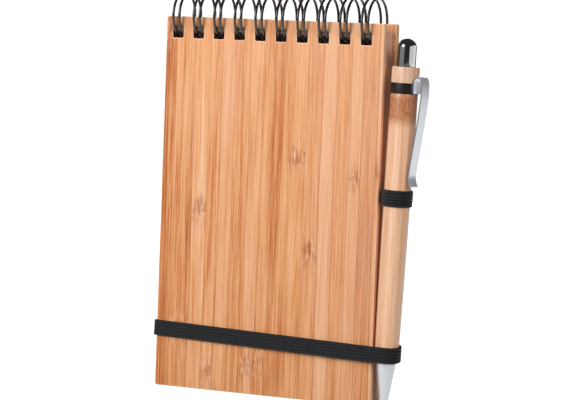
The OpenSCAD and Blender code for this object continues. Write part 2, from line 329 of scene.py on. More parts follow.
class NodeTree:
    """Short calls for the nodes of one shader tree."""

    def __init__(self, tree):
        self.tree = tree

    def feed(self, socket, value):
        """Links another node's output to a socket, or sets the socket's own value."""
        if isinstance(value, bpy.types.NodeSocket):
            self.tree.links.new(value, socket)
        else:
            socket.default_value = value

    def node(self, kind, inputs=None, **settings):
        made = self.tree.nodes.new(kind)
        for name, value in settings.items():
            setattr(made, name, value)
        for socket, value in (inputs or {}).items():
            self.feed(made.inputs[socket], value)
        return made

    def math(self, operation, a, b=0.0, c=0.0, clamp=False):
        made = self.node("ShaderNodeMath", {0: a, 1: b, 2: c}, operation=operation, use_clamp=clamp)
        return made.outputs[0]

    def add(self, a, b, clamp=False):
        return self.math("ADD", a, b, clamp=clamp)

    def times(self, a, b):
        return self.math("MULTIPLY", a, b)

    def scaled(self, value, factor, plus):
        """Value times factor, plus a constant."""
        return self.math("MULTIPLY_ADD", value, factor, plus)

    def centred(self, value, reach):
        """Turns 0 to 1 into a swing of the given reach about zero."""
        return self.scaled(value, reach, -reach / 2)

    def range(self, value, low, high, to_low=0.0, to_high=1.0, smooth=False):
        """Maps low to high onto to_low to to_high, and holds the value beyond them."""
        kind = "SMOOTHSTEP" if smooth else "LINEAR"
        inputs = {0: value, 1: low, 2: high, 3: to_low, 4: to_high}
        return self.node("ShaderNodeMapRange", inputs, interpolation_type=kind).outputs[0]

    def fade(self, value, full, gone):
        """1 up to full, then smoothly down to 0 at gone."""
        return self.range(value, full, gone, 1.0, 0.0, smooth=True)


class Look(NodeTree):
    """A material under construction. Its colours are 8-bit display colours."""

    def __init__(self, name, surface):
        self.material = bpy.data.materials.new(name)
        self.material.use_nodes = True
        super().__init__(self.material.node_tree)
        self.shader = self.tree.nodes["Principled BSDF"]
        for socket, value in surface.items():
            self.shader.inputs[socket].default_value = value
        self.place = self.node("ShaderNodeTexCoord").outputs["Object"]

    def stretched(self, per_mm, offset=(0, 0, 0)):
        """Object coordinates times a rate per millimetre along each axis."""
        rate = [v / MM for v in per_mm]
        inputs = {"Vector": self.place, "Scale": rate, "Location": offset}
        return self.node("ShaderNodeMapping", inputs).outputs[0]

    def noise_at(self, vector, detail, roughness):
        inputs = {"Vector": vector, "Scale": 1.0, "Detail": detail, "Roughness": roughness}
        return self.node("ShaderNodeTexNoise", inputs).outputs[0]

    def noise(self, per_mm, detail=3.0, roughness=0.55, offset=(0, 0, 0)):
        """Noise of a rate per millimetre along each axis."""
        return self.noise_at(self.stretched(per_mm, offset), detail, roughness)

    def axes(self, vector):
        made = self.node("ShaderNodeSeparateXYZ", {0: vector})
        return made.outputs[0], made.outputs[1], made.outputs[2]

    def attribute(self, name):
        return self.node("ShaderNodeAttribute", attribute_name=name).outputs["Fac"]

    def tones(self, value, stops):
        """A ramp of colours, given as (position, colour)."""
        made = self.node("ShaderNodeValToRGB", {0: value})
        ramp = made.color_ramp
        while len(ramp.elements) < len(stops):
            ramp.elements.new(0.5)
        for element, (position, colour) in zip(ramp.elements, stops):
            element.position = position
            element.color = srgb(*colour)
        return made.outputs[0]

    def tint(self, under, colour, factor):
        """Mixes a colour into what is under it."""
        made = self.node("ShaderNodeMix", {0: factor, 6: under, 7: srgb(*colour)}, data_type="RGBA")
        return made.outputs[2]

    def colour(self, value):
        self.feed(self.shader.inputs["Base Color"], value)

    def roughness(self, value):
        self.feed(self.shader.inputs["Roughness"], value)

    def bump(self, height, depth):
        made = self.node("ShaderNodeBump", {"Height": height, "Distance": depth, "Strength": 1.0})
        self.feed(self.shader.inputs["Normal"], made.outputs[0])


def bamboo_board(name, seed):
    """Laminated bamboo: upright strips of differing tone, fibres, glue lines and node marks."""
    strip_w = 5.8
    haze_and_sheen_colour, node_colour, seam_colour = (245, 189, 151), (212, 130, 86), (160, 88, 48)
    light_fleck, dark_fleck = (252, 212, 176), (156, 76, 38)
    wear_and_highlight_colour, char_and_shade_colour = (255, 224, 192), (34, 18, 12)
    look = Look(name, {"Roughness": 0.55, "Specular IOR Level": 0.16})
    x, _, z = look.axes(look.stretched((1, 1, 1)))

    # Strips: one cell each, with its own tone, place of the node mark and mood
    sway = look.noise((0.02, 0.02, 0.012), detail=1.0, offset=(seed, 0, 0))
    across = look.add(look.times(x, 1 / strip_w), look.scaled(sway, 0.3, seed))
    cells = {"W": across, "Scale": 1.0, "Randomness": 0.85}
    strips = look.node("ShaderNodeTexVoronoi", cells, voronoi_dimensions="1D")
    seams = look.node("ShaderNodeTexVoronoi", cells, voronoi_dimensions="1D",
                      feature="DISTANCE_TO_EDGE")
    tone, node_place, mood = look.axes(strips.outputs["Color"])

    # Distance to the strip's node mark, which lies somewhere along it or past its ends
    node_z = look.scaled(node_place, 250.0, -60.0)
    wobble = look.noise((0.5, 0.5, 0.25))
    from_node = look.add(look.math("SUBTRACT", z, node_z), look.centred(wobble, 9.0))
    node_dist = look.math("ABSOLUTE", from_node)
    near_node = look.fade(node_dist, 0.5, 8.0)
    on_node = look.fade(node_dist, 0.2, 1.1)

    # Fibres differ from strip to strip and bend round the node mark
    bend_x = look.times(near_node, look.centred(wobble, 3.0))
    shifts = {0: bend_x, 1: look.times(tone, 37.0)}
    offset = look.node("ShaderNodeCombineXYZ", shifts).outputs[0]

    def fibre(rate_across, rate_along, detail, roughness=0.6):
        base = look.stretched((rate_across, rate_across, rate_along))
        moved = look.node("ShaderNodeVectorMath", {0: base, 1: offset}, operation="ADD").outputs[0]
        return look.noise_at(moved, detail, roughness)

    broad = fibre(0.3, 0.01, 2.0)
    fine = fibre(1.4, 0.03, 4.0, 0.72)
    hair = fibre(5.0, 0.1, 3.0)
    value = look.scaled(tone, 0.26, 0.37)
    for part in (look.centred(broad, 0.7), look.centred(fine, 1.5), look.centred(hair, 0.55),
                 look.times(near_node, 0.1)):
        value = look.add(value, part)
    wood = look.tones(value, [
        (0.0, (164, 86, 46)), (0.28, (209, 129, 78)), (0.5, (233, 161, 107)),
        (0.72, (244, 182, 133)), (1.0, (254, 211, 176))])

    # A pale haze, stronger in some strips, and a painted sheen of light that makes the board paler
    # toward the upper right
    cloud = look.noise((0.035, 0.035, 0.016), detail=2.0, offset=(0, seed, 0))
    haze_and_sheen = look.add(look.range(mood, 0.45, 0.95, 0.0, 0.3), look.range(cloud, 0.4, 0.7, 0.0, 0.3))
    # Painted light: paler toward the right and toward the top, a sheen where the light falls
    haze_and_sheen = look.add(haze_and_sheen, look.range(x, BACK_LOW.x / MM, BACK_HIGH.x / MM, -0.22, 0.12))
    haze_and_sheen = look.add(haze_and_sheen, look.range(z, 30.0, 140.0, -0.1, 0.16), clamp=True)
    wood = look.tint(wood, haze_and_sheen_colour, haze_and_sheen)

    # Node marks, glue lines, pale eased edges (wear with a painted highlight on them) and the burnt
    # walls of the holes, darkened further with painted shade
    wood = look.tint(wood, node_colour, look.times(near_node, 0.4))
    flecks = look.noise((1.4, 1.4, 0.18), roughness=0.65, offset=(seed, 2, 0))
    dark = look.times(look.range(flecks, 0.46, 0.68, 0.0, 0.75, smooth=True), near_node)
    dark = look.math("MAXIMUM", dark, look.times(on_node, 0.3))
    light = look.times(look.range(flecks, 0.47, 0.36, 0.0, 0.6, smooth=True), near_node)
    wood = look.tint(wood, light_fleck, light)
    wood = look.tint(wood, dark_fleck, dark)
    seam = look.fade(seams.outputs["Distance"], 0.01, 0.05)
    seam = look.times(seam, look.range(mood, 0.2, 0.8, 0.1, 0.6))
    wood = look.tint(wood, seam_colour, seam)
    # Pale eased edges: partly wear, partly a painted highlight on the rounded rims
    wood = look.tint(wood, wear_and_highlight_colour, look.times(look.attribute("rim"), 0.6))
    # Hole walls taken near black: partly char, partly painted shade inside the holes
    look.colour(look.tint(wood, char_and_shade_colour, look.times(look.attribute("char_and_shade"), 0.93)))
    look.roughness(look.range(fine, 0.2, 0.8, 0.48, 0.64))
    relief = look.add(look.times(fine, 0.6), look.times(hair, 0.4))
    relief = look.math("SUBTRACT", relief, look.times(seam, 0.9))
    look.bump(relief, 0.03 * MM)
    return look.material


def pen_bamboo(name, shades, knot_z):
    """Turned bamboo of the pen: yellow fibres along it, with brown flecks round a node."""
    knot_colour, fleck_colour = (188, 114, 60), (152, 80, 38)
    look = Look(name, {"Roughness": 0.42, "Specular IOR Level": 0.5, "Coat Weight": 0.6,
                       "Coat Roughness": 0.22})
    z = look.axes(look.stretched((1, 1, 1)))[2]
    broad = look.noise((0.5, 0.5, 0.012))
    fine = look.noise((2.4, 2.4, 0.035), detail=4.0, roughness=0.6)
    hair = look.noise((7, 7, 0.12), detail=2.0)
    value = look.add(look.times(broad, 0.9), look.scaled(fine, 0.85, -0.4))
    value = look.add(value, look.centred(hair, 0.2))
    wood = look.tones(value, list(zip((0.15, 0.45, 0.65, 0.95), shades)))
    near = look.fade(look.math("ABSOLUTE", look.math("SUBTRACT", z, knot_z)), 2.5, 8.0)
    wood = look.tint(wood, knot_colour, look.times(near, 0.85))
    flecks = look.noise((2.1, 2.1, 0.55), roughness=0.65, offset=(3, 1, 0))
    flecks = look.times(look.range(flecks, 0.42, 0.7, 0.0, 0.9, smooth=True), near)
    look.colour(look.tint(wood, fleck_colour, flecks))
    look.roughness(look.range(fine, 0.2, 0.8, 0.34, 0.52))
    look.bump(look.add(fine, look.times(hair, 0.5)), 0.025 * MM)
    return look.material


def paper():
    """Cream paper: every sheet a little different, with faint fibres."""
    look = Look("paper", {"Roughness": 0.9, "Specular IOR Level": 0.2})
    sheet = look.node("ShaderNodeNewGeometry").outputs["Random Per Island"]
    cloud = look.noise((0.08, 0.08, 0.08), detail=4.0)
    fibres = look.noise((1.6, 8.0, 1.6))
    value = look.add(look.times(sheet, 0.55), look.times(cloud, 0.3))
    value = look.add(value, look.scaled(fibres, 0.3, -0.1))
    look.colour(look.tones(value, [
        (0.1, (222, 172, 146)), (0.5, (240, 198, 172)), (0.9, (252, 220, 198))]))
    look.bump(fibres, 0.02 * MM)
    return look.material


def elastic(name, width):
    """Braided black elastic: fine slanting threads over the ribs, soft sheen at the edges."""
    look = Look(name, {"Roughness": 0.82, "Sheen Weight": 0.15, "Sheen Roughness": 0.5,
                       "Specular IOR Level": 0.2})
    x, y, z = look.axes(look.stretched((1, 1, 1)))
    rib_phase = look.scaled(z, math.pi * RIBS * MM / width, math.pi * RIBS / 2)
    rib = look.math("ABSOLUTE", look.math("SINE", rib_phase))
    run = look.add(x, y)
    rise = look.times(z, 1.6)

    def threads(lean):
        phase = look.times(look.add(run, look.times(rise, lean)), 11.0)
        return look.scaled(look.math("SINE", phase), 0.5, 0.5)

    weave = look.math("MAXIMUM", threads(0.7), threads(-0.7))
    fuzz = look.noise((2.5, 2.5, 5.0), detail=4.0, roughness=0.7)
    value = look.add(look.times(weave, 0.5), look.times(fuzz, 0.5))
    # Darker in the grooves between the ribs: painted shade
    value = look.times(value, look.range(rib, 0.1, 0.8, 0.25, 1.0, smooth=True))
    look.colour(look.tones(value, [(0.1, (7, 7, 8)), (0.55, (26, 27, 29)), (0.95, (50, 53, 58))]))
    look.roughness(look.range(fuzz, 0.2, 0.8, 0.7, 0.92))
    look.bump(value, 0.07 * MM)
    return look.material


def metal(name, dark, light, roughness, rates, metallic=1.0):
    """Drawn or turned metal with fine lines of the given rates, small stains, and darker
    edges where the mesh marks them, partly sheared metal and partly painted shade."""
    sheared_and_shaded_colour = (84, 86, 92)
    look = Look(name, {"Metallic": metallic})
    lines = look.noise(rates, roughness=0.6)
    stains = look.noise((0.12, 0.12, 0.12))
    value = look.add(look.times(lines, 0.6), look.times(stains, 0.4))
    bright = look.tones(value, [(0.25, dark), (0.75, light)])
    # Marked edges darker: sheared metal, with painted shade
    look.colour(look.tint(bright, sheared_and_shaded_colour, look.times(look.attribute("sheared_and_shaded"), 0.85)))
    look.roughness(look.range(value, 0.25, 0.75, roughness - 0.05, roughness + 0.06))
    look.bump(lines, 0.008 * MM)
    return look.material


def lacquer(name, dark, light, roughness, coat, shine):
    """Smooth plastic or enamel: an even colour with faint clouding and orange peel."""
    look = Look(name, {"Coat Weight": coat, "Coat Roughness": 0.05, "Coat IOR": 1.7,
                       "Specular IOR Level": shine})
    cloud = look.noise((0.3, 0.3, 0.3), detail=4.0)
    peel = look.noise((1.2, 1.2, 1.2), detail=2.0)
    look.colour(look.tones(cloud, [(0.3, dark), (0.7, light)]))
    look.roughness(look.range(cloud, 0.3, 0.7, roughness - 0.03, roughness + 0.04))
    look.bump(peel, 0.004 * MM)
    return look.material


def milky(name, dark, light, transmission):
    """Half-clear moulded plastic with flow lines."""
    look = Look(name, {"Roughness": 0.3, "Transmission Weight": transmission, "IOR": 1.46})
    flow = look.noise((0.9, 0.9, 0.05))
    look.colour(look.tones(flow, [(0.3, dark), (0.7, light)]))
    look.roughness(look.range(flow, 0.3, 0.7, 0.25, 0.4))
    look.bump(flow, 0.01 * MM)
    return look.material


FRONT_WOOD = bamboo_board("front_bamboo", 11.35)
BACK_WOOD = bamboo_board("back_bamboo", 47.8)
BARREL_WOOD = pen_bamboo(
    "barrel_bamboo", [(212, 146, 98), (241, 185, 142), (250, 205, 170), (254, 224, 198)], 107.8)
COLLAR_WOOD = pen_bamboo(
    "collar_bamboo", [(206, 150, 114), (229, 182, 149), (241, 202, 174), (249, 219, 197)], 131.0)
PAPER = paper()
BAND_ELASTIC = elastic("band_elastic", BAND_W)
LOOP_ELASTIC = elastic("loop_elastic", PEN_LOOP_W)
WIRE = lacquer("black_wire", (13, 10, 10), (23, 19, 19), 0.24, 0.4, 0.5)
BLACK_GLOSS = lacquer("black_gloss", (5, 5, 6), (9, 9, 10), 0.08, 1.0, 0.5)
BLACK_RING = lacquer("black_ring", (13, 10, 10), (22, 18, 18), 0.4, 0.0, 0.25)
SATIN_STEEL = metal("satin_steel", (216, 219, 225), (234, 237, 243), 0.36, (3.0, 3.0, 0.08), 0.7)
TURNED_STEEL = metal("turned_steel", (196, 199, 205), (216, 219, 225), 0.38, (0.1, 0.1, 5.0), 0.6)
SPRING_STEEL = metal("spring_steel", (150, 152, 156), (196, 198, 201), 0.25, (2.0, 2.0, 2.0))
STAPLE_STEEL = metal("staple_steel", (168, 170, 173), (208, 210, 212), 0.28, (2.5, 2.5, 2.5))
BRASS = metal("brass", (178, 140, 72), (214, 178, 104), 0.28, (0.2, 0.2, 4.0))
CLEAR_PLASTIC = milky("clear_plastic", (222, 226, 228), (240, 242, 243), 0.55)
WHITE_PLASTIC = milky("white_plastic", (226, 226, 222), (240, 240, 238), 0.0)
INK = lacquer("ink", (8, 10, 44), (14, 18, 66), 0.2, 0.3, 0.5)


def dress(piece, material, slot, body, *nodes):
    """Gives a piece its material and its body, and hides the CAD nodes it stands for. The slot is not
    used.
    """
    piece.data.materials.clear()
    piece.data.materials.append(material)
    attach(piece, body)
    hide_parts(*nodes)


# ---------------------------------------------------------------- boards and paper

def ease(bm, edges, radius, segments):
    """Rounds the given edges."""
    return bmesh.ops.bevel(bm, geom=edges, offset=radius, segments=segments, profile=0.5,
                           affect="EDGES")


def board(name, node, body, material):
    """A bamboo board with rounded corners, eased edges and a row of laser-cut square holes."""
    low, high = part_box(node)
    bm = bmesh.new()
    rim = bm.faces.layers.float.new("rim")
    char_and_shade = bm.faces.layers.float.new("char_and_shade")
    punched_slab(bm, low, high, COVER_HOLE_Z)
    bmesh.ops.recalc_face_normals(bm, faces=bm.faces)

    def is_outer(x, z):
        return min(x - low.x, high.x - x) < SLACK and min(z - low.z, high.z - z) < SLACK

    def is_hole(x, z):
        in_row = abs(z - COVER_HOLE_Z) < HOLE_H / 2 + SLACK
        return in_row and min(x - low.x, high.x - x) > 2 * MM

    corner_r, hole_r, edge_r = 0.8 * MM, 0.35 * MM, 0.28 * MM
    ease(bm, depth_edges(bm, is_outer), corner_r, 5)
    ease(bm, depth_edges(bm, is_hole), hole_r, 2)
    flat = {face for face in bm.faces if abs(face.normal.y) > 0.99}
    rims = [e for e in bm.edges if sum(f in flat for f in e.link_faces) == 1]
    # The rounded rims are marked for the pale edge: wear with a painted highlight
    for face in ease(bm, rims, edge_r, 3)["faces"]:
        face[rim] = 1.0
    # Hole walls get the char mark, which is char and painted shade inside the holes
    for face in bm.faces:
        middle = face.calc_center_median()
        if abs(face.normal.y) < 0.2 and is_hole(middle.x, middle.z):
            face[char_and_shade] = 1.0
    dress(object_from(bm, name, sharp=50), material, "bamboo_board", body, node)


def paper_stack(name, node, body, count, seed):
    """A stack of loose sheets, each a hair out of line with the next and a little apart."""
    stray_x, stray_z = 0.14, 0.12
    air = 0.05
    low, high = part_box(node)
    draw = random.Random(seed)
    pitch = (high.y - low.y) / count
    bm = bmesh.new()
    for i in range(count):
        front = low.y + pitch * i
        sheet_low = Vector((low.x, front + pitch * air, low.z))
        sheet_high = Vector((high.x, front + pitch * (1 - air), high.z))
        shift = (draw.uniform(-stray_x, stray_x) * MM, draw.uniform(-stray_z, stray_z) * MM)
        punched_slab(bm, sheet_low, sheet_high, PAGE_HOLE_Z, shift)
    dress(object_from(bm, name, sharp=20), PAPER, "paper", body, node)


# ---------------------------------------------------------------- wire binding

def wire_binding():
    """One wire bent to a comb of twin fingers, each closed round onto the spine that links them.
    The comb is drawn flat as (x, length round the ring) and then rolled up."""
    spine_dy = SEAM_Y - RING_CENTRE.y
    start = -math.acos(spine_dy / RING_R)
    bend = 0.8 * MM
    half = TWIN_GAP / 2
    tip_gap = 0.4 * MM
    leg_top = 2 * math.pi * RING_R - tip_gap - half
    leg_steps, tip_steps, bend_steps = 72, 14, 6

    def on_ring(x, arc):
        angle = start + arc / RING_R
        return Vector((x, RING_CENTRE.y + RING_R * math.cos(angle),
                       RING_CENTRE.z + RING_R * math.sin(angle)))

    def run(a, b, steps):
        return [a + (b - a) * k / steps for k in range(steps + 1)]

    points = []
    for i, x in enumerate(LOOP_X):
        if i > 0:
            points += [(x - half - bend + bend * math.sin(t), bend - bend * math.cos(t))
                       for t in (math.pi / 2 * k / bend_steps for k in range(bend_steps + 1))]
        points += [(x - half, arc) for arc in run(bend, leg_top, leg_steps)[1:]]
        points += [(x - half * math.cos(t), leg_top + half * math.sin(t))
                   for t in (math.pi * k / tip_steps for k in range(1, tip_steps))]
        points += [(x + half, arc) for arc in run(leg_top, bend, leg_steps)]
        if i < LOOPS - 1:
            points += [(x + half + bend - bend * math.sin(t), bend - bend * math.cos(t))
                       for t in (math.pi / 2 * k / bend_steps for k in range(bend_steps - 1, -1, -1))]
    wire = tube("twin_loop_wire", [on_ring(*p) for p in points], WIRE_R, sides=4)
    dress(wire, WIRE, "black_wire", "notepad", "wire_binding")


# ---------------------------------------------------------------- elastics

def ribbed_section(width, thick):
    """Section of a ribbed elastic, thin and rounded at its two edges."""
    count = RIBS * 8
    squareness, fullness, valley = 9, 0.6, 0.6

    def half_thickness(u):
        edge = (1 - abs(2 * u - 1) ** squareness) ** (1 / squareness)
        rib = valley + (1 - valley) * abs(math.sin(math.pi * RIBS * u)) ** fullness
        return thick / 2 * edge * rib

    outer = [(half_thickness(k / count), width * (k / count - 0.5)) for k in range(count + 1)]
    inner = [(-o, s) for o, s in outer[-2:0:-1]]
    return outer + inner


def wrap(posts, index, steps):
    """Directions from the post at index, from where the belt meets it to where it leaves."""
    def normal(a, b):
        span = Vector((b[0] - a[0], b[1] - a[1]))
        lean = (a[2] - b[2]) / span.length
        ahead = span.normalized()
        out = Vector((ahead.y, -ahead.x))
        return ahead * lean + out * math.sqrt(1 - lean ** 2)

    here = posts[index]
    meets = normal(posts[index - 1], here)
    leaves = normal(here, posts[(index + 1) % len(posts)])
    begin = math.atan2(meets.y, meets.x)
    turn = (math.atan2(leaves.y, leaves.x) - begin) % (2 * math.pi)
    return [Vector((math.cos(begin + turn * k / steps), math.sin(begin + turn * k / steps), 0))
            for k in range(steps + 1)]


def belt_stations(posts, index, steps, thick):
    """Stations of a belt's middle line where it bends round one post (x, y, radius)."""
    x, y, radius = posts[index]
    return [(Vector((x, y, 0)) + out * (radius + thick / 2), out)
            for out in wrap(posts, index, steps)]


def straight(a, b, steps):
    """Stations between the last of a and the first of b, both left out."""
    (p, out), (q, _) = a[-1], b[0]
    return [(p + (q - p) * k / steps, out) for k in range(1, steps)]


def barrel_r(height):
    """Radius of the barrel at a height above the pen's foot."""
    swell = 2.2
    share = (BARREL_TOP - height) / (BARREL_TOP - BARREL_FOOT)
    return BARREL_TOP_R - (BARREL_TOP_R - BARREL_END_R) * share ** swell


def closure_band():
    """Elastic round pad and pen, in three pieces: the run across the front, the left side,
    and the rest. The front run closes in on the pages when the cover is turned up."""
    level = Matrix.Translation((0, 0, BAND_Z)) @ Matrix.Rotation(BAND_SLANT, 4, "Y")
    foot = PEN.translation
    lean = PEN.col[2].to_3d()
    pen_h = BAND_Z - foot.x * math.sin(BAND_SLANT) - foot.z
    pen_x = foot.x + pen_h * lean.x / lean.z
    posts = [
        (FRONT_LOW.x, FRONT_LOW.y, BAND_GAP),
        (pen_x, foot.y, barrel_r(pen_h + BAND_W / 2) + ROOM),
        (BACK_HIGH.x, BACK_HIGH.y, BAND_GAP),
        (BACK_LOW.x, BACK_HIGH.y, BAND_GAP),
    ]
    section = ribbed_section(BAND_W, BAND_T)
    corner, pen, right, left = (
        belt_stations(posts, i, steps, BAND_T) for i, steps in enumerate((8, 28, 8, 8)))
    run = [corner[-1]] + straight(corner, pen, 24) + [pen[0]]
    side = [left[-1]] + straight(left, corner, 6) + corner
    rest = pen + straight(pen, right, 6) + right + straight(right, left, 24) + left

    def levelled(stations):
        """Lifts the stations behind the front so that the run across the back is level."""
        depth = BACK_HIGH.y - FRONT_LOW.y
        lifted = []
        for point, out in stations:
            share = min(1, max(0, (point.y - FRONT_LOW.y) / depth))
            lifted.append((point + Z * point.x * math.tan(BAND_SLANT) * share, out))
        return lifted

    side, rest = levelled(side), levelled(rest)
    front = sweep("band_front_run", run, section, Z, level)
    dress(front, BAND_ELASTIC, "black_elastic", "band_front", "closure_band_front")
    strand = sweep("band_left_side", side, section, Z, level)
    dress(strand, BAND_ELASTIC, "black_elastic", "notepad", "closure_band")
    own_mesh(strand)
    rear = sweep("band_pen_wrap_and_rear", rest, section, Z, level)
    dress(rear, BAND_ELASTIC, "black_elastic", "notepad", "closure_band")


def pen_loop():
    """Elastic loop round the barrel. Its ends run flat between the leaves and the back board."""
    level = PEN @ Matrix.Translation((0, 0, PEN_LOOP_Z))
    radius = barrel_r(PEN_LOOP_Z + PEN_LOOP_W / 2) + ROOM
    tail_x, tail_y, _ = UNPEN @ Vector((BACK_HIGH.x + 0.2 * MM, SEAM_Y,
                                        PEN.translation.z + PEN_LOOP_Z))
    tail_len = 14 * MM
    ply = PEN_LOOP_T / 2 + 0.03 * MM
    posts = [(0, 0, radius), (tail_x, tail_y, ply - PEN_LOOP_T / 2)]
    round_pen = belt_stations(posts, 0, 40, PEN_LOOP_T)
    first, last = round_pen[0][0], round_pen[-1][0]
    bend_x, bend_r = tail_x + 0.1 * MM, 0.7 * MM
    inward = [(tail_x - tail_len, tail_y - ply, 0), (bend_x, tail_y - ply, bend_r),
              (first.x, first.y, 0)]
    outward = [(last.x, last.y, 0), (bend_x, tail_y + ply, bend_r),
               (tail_x - tail_len, tail_y + ply, 0)]

    def tail(corners):
        line = [Vector((p.x, p.y, 0)) for p in rounded(corners, 8, closed=False)]
        return [(point, Vector((ahead.y, -ahead.x, 0))) for point, ahead in directions(line)]

    stations = tail(inward)[:-1] + round_pen + tail(outward)[1:]
    loop = sweep("pen_loop_elastic", stations, ribbed_section(PEN_LOOP_W, PEN_LOOP_T), Z, level)
    dress(loop, LOOP_ELASTIC, "black_elastic", "notepad", "pen_loop")


def staple_line(x, z, crown_y, half, clinch):
    """A staple's line: up through the board, along the crown and back, its ends bent over."""
    leg_end = BACK_LOW.y - 0.35 * MM
    if clinch:
        corners = [(-half + 2.4 * MM, leg_end - 0.05 * MM, 0), (-half, leg_end, 0.5 * MM)]
    else:
        corners = [(-half, leg_end - 0.5 * MM, 0)]
    corners.append((-half, crown_y, 0.45 * MM))
    corners += [(-cx, cy, r) for cx, cy, r in corners[::-1]]
    return [Vector((x + p.x, p.y, z)) for p in rounded(corners, 6, closed=False)]


def staples():
    """Two staples that hold the band behind the pad, and one for the pen loop's ends."""
    staple_r, half = 0.25 * MM, 3.25 * MM
    band_x, loop_x = 12 * MM, 37 * MM
    band_crown = BACK_HIGH.y + BAND_GAP + BAND_T
    lines = [staple_line(x, BAND_Z, band_crown, half, True) for x in (-band_x, band_x)]
    pair = [tube(f"band_staple_{i}", line, staple_r) for i, line in enumerate(lines)]
    for piece in pair:
        dress(piece, STAPLE_STEEL, "staple_steel", "notepad", "band_staples")
    line = staple_line(loop_x, PEN.translation.z + PEN_LOOP_Z, BACK_HIGH.y + staple_r, half, False)
    single = tube("loop_staple", line, staple_r)
    dress(single, STAPLE_STEEL, "staple_steel", "notepad", "pen_loop_staple")


# ---------------------------------------------------------------- pen

def pen_barrel():
    """Tapered barrel, bored through, with a wider bore for the brass bush at its foot."""
    steps = 28
    side = [(barrel_r(h), h, 0) for h in
            (BARREL_FOOT + (BARREL_TOP - BARREL_FOOT) * k / steps for k in range(1, steps))]
    bush_r, bush_top = BORE_R + 0.4 * MM, BARREL_FOOT + 8 * MM
    edge_r = 0.2 * MM
    corners = [(bush_r, BARREL_FOOT, 0.1 * MM), (BARREL_END_R, BARREL_FOOT, edge_r), *side,
               (BARREL_TOP_R, BARREL_TOP, edge_r), (BORE_R, BARREL_TOP, 0.1 * MM),
               (BORE_R, bush_top, 0), (bush_r, bush_top, 0)]
    dress(lathe("barrel", rounded(corners, 3)), BARREL_WOOD, "pen_bamboo", "pen", "pen_barrel")


def pen_collar():
    """Plain bamboo ring at the top, in which the button slides."""
    bore = BUTTON_R + ROOM
    corners = [(bore, COLLAR_FOOT, 0.1 * MM), (COLLAR_R, COLLAR_FOOT, 0.2 * MM),
               (COLLAR_R, COLLAR_TOP, 0.45 * MM), (bore, COLLAR_TOP, 0.3 * MM)]
    dress(lathe("collar", rounded(corners, 4)), COLLAR_WOOD, "pen_bamboo", "pen", "pen_collar")


def clip_ring():
    """Black ring between barrel and collar, with the flat lug that carries the clip's foot."""
    ring_r = 4.9 * MM
    corners = [(BORE_R, RING_FOOT, 0), (ring_r, RING_FOOT, 0.15 * MM),
               (ring_r, RING_TOP, 0.15 * MM), (BORE_R, RING_TOP, 0)]
    ring = lathe("clip_ring_band", rounded(corners, 3))
    dress(ring, BLACK_RING, "black_gloss", "pen", "clip_ring")
    lug_in, lug_out = BORE_R + 0.9 * MM, 5.1 * MM
    outline = rounded([(lug_in, -CLIP_W / 2, 0), (lug_out, -CLIP_W / 2, 0.25 * MM),
                       (lug_out, CLIP_W / 2, 0.25 * MM), (lug_in, CLIP_W / 2, 0)], 3)
    inset, shrunk = 0.06 * MM, 0.985
    levels = [(RING_FOOT + inset, shrunk), (RING_FOOT + 2 * inset, 1),
              (RING_TOP - 2 * inset, 1), (RING_TOP - inset, shrunk)]
    bm = bmesh.new()
    skin(bm, [[bm.verts.new((p.x * grow, p.y * grow, height)) for p in outline]
              for height, grow in levels])
    lug = object_from(bm, "clip_ring_lug", CLIP)
    dress(lug, BLACK_RING, "black_gloss", "pen", "clip_ring")


def clip_strip(name, line):
    """A strip of sheet steel along a line of (distance from the axis, height)."""
    half_t, half_w, edge_r = CLIP_T / 2, CLIP_W / 2, 0.2 * MM
    section = [(p.x, p.y) for p in rounded([
        (-half_t, -half_w, edge_r), (half_t, -half_w, edge_r),
        (half_t, half_w, edge_r), (-half_t, half_w, edge_r)], 4)]
    stations = [(Vector((point.x, 0, point.y)), Vector((-ahead.y, 0, ahead.x)))
                for point, ahead in directions(line)]
    strip = sweep(name, stations, section, Y, CLIP)
    # The strip's narrow sides are marked darker: sheared metal, with painted shade
    sheared_and_shaded = strip.data.attributes.new("sheared_and_shaded", "FLOAT", "FACE")
    for face in strip.data.polygons:
        sheared_and_shaded.data[face.index].value = 1.0 if abs(face.normal.y) > 0.75 else 0.0
    return strip


def pocket_clip():
    """Foot and leg of the clip, which meet at the bend over the top."""
    base = Vector((5.45 * MM, RING_FOOT + 0.3 * MM))
    top = Vector((7.2 * MM, COLLAR_FOOT + 2.4 * MM))
    shoulder = Vector((9.2 * MM, RING_FOOT - 0.1 * MM))
    touch = Vector((6 * MM, PEN_TOP - 48 * MM))
    tip = Vector((7.2 * MM, PEN_TOP - 53 * MM))
    slit = 0.02 * MM
    rise = Vector((base.x, COLLAR_FOOT + 0.4 * MM))
    foot_line = [base, (base + rise) / 2] + curve(rise, Vector((base.x, top.y)), top, 12)
    over = curve(top + Vector((slit, 0)), Vector((shoulder.x, top.y)),
                 shoulder + Vector((0, 2.5)) * MM, 12)
    leg = curve(shoulder, shoulder + Vector((-0.2, -6)) * MM, touch + Vector((0.3, 3)) * MM, 16)
    flare = curve(touch, touch + Vector((-0.5, -3)) * MM, tip, 10)
    foot = clip_strip("clip_foot_strip", foot_line)
    dress(foot, SATIN_STEEL, "satin_steel", "pen", "clip_foot")
    blade = clip_strip("clip_leg_strip", over + leg + flare)
    dress(blade, SATIN_STEEL, "satin_steel", "clip", "pocket_clip")


